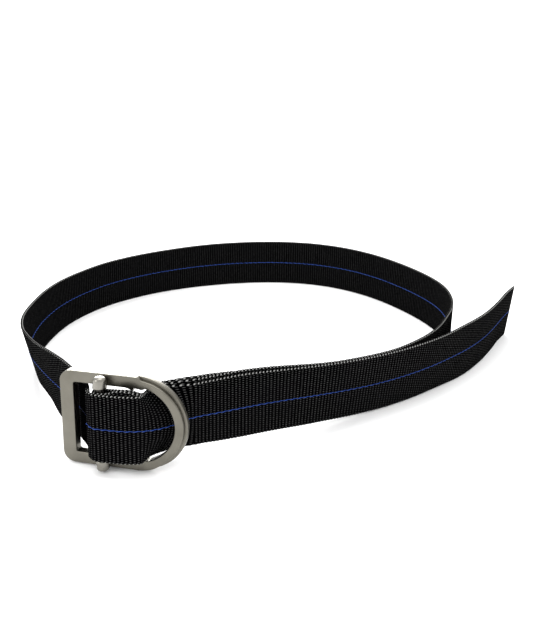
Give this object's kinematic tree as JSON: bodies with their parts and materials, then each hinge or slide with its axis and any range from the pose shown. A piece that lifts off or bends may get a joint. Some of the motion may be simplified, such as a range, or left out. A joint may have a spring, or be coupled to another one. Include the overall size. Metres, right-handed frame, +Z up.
{
  "type": "dive weight belt",
  "caption": "Loop of thick black nylon webbing with a centre tracer thread, closed by a cast steel D-frame friction buckle with a loose crossbar, its running end left as a free tail.",
  "frame": {"origin": "middle of the belt's outline, on the plane that its lower edge stands on", "axes": "+X towards the wearer's left, where the tail leaves; +Y towards the wearer's back, with the buckle at the front on -Y; +Z up, across the webbing's width"},
  "size_m": [0.4273, 0.4143, 0.0666],
  "materials": {
    "black_nylon_webbing": "matte ribbed weave",
    "satin_grey_steel": "satin cast",
    "polished_steel": "tumbled",
    "black_thread": "matte"
  },
  "bodies": {
    "belt": {"webbing_strap": "black_nylon_webbing", "bar_tack_1": "black_thread", "bar_tack_2": "black_thread", "bar_tack_3": "black_thread"},
    "tail": {"webbing_tail": "black_nylon_webbing"},
    "buckle": {"buckle_frame": "satin_grey_steel"},
    "bar": {"crossbar": "polished_steel"}
  },
  "joints": [
    {"name": "tail_swing", "type": "hinge", "parent": "belt", "child": "tail", "pos_m": [0.0845, -0.0955, 0.025], "axis": [0, 0, 1], "range_deg": [-35, 1], "stiffness_Nm_per_rad": 0.02},
    {"name": "frame_slide", "type": "slide", "parent": "belt", "child": "buckle", "axis": [1, 0, 0], "range_m": [-0.0007, 0.0009]},
    {"name": "crossbar_roll", "type": "hinge", "parent": "belt", "child": "bar", "pos_m": [-0.0652, -0.197, 0.0337], "axis": [0, 0.1045, 0.9945], "continuous": true}
  ]
}
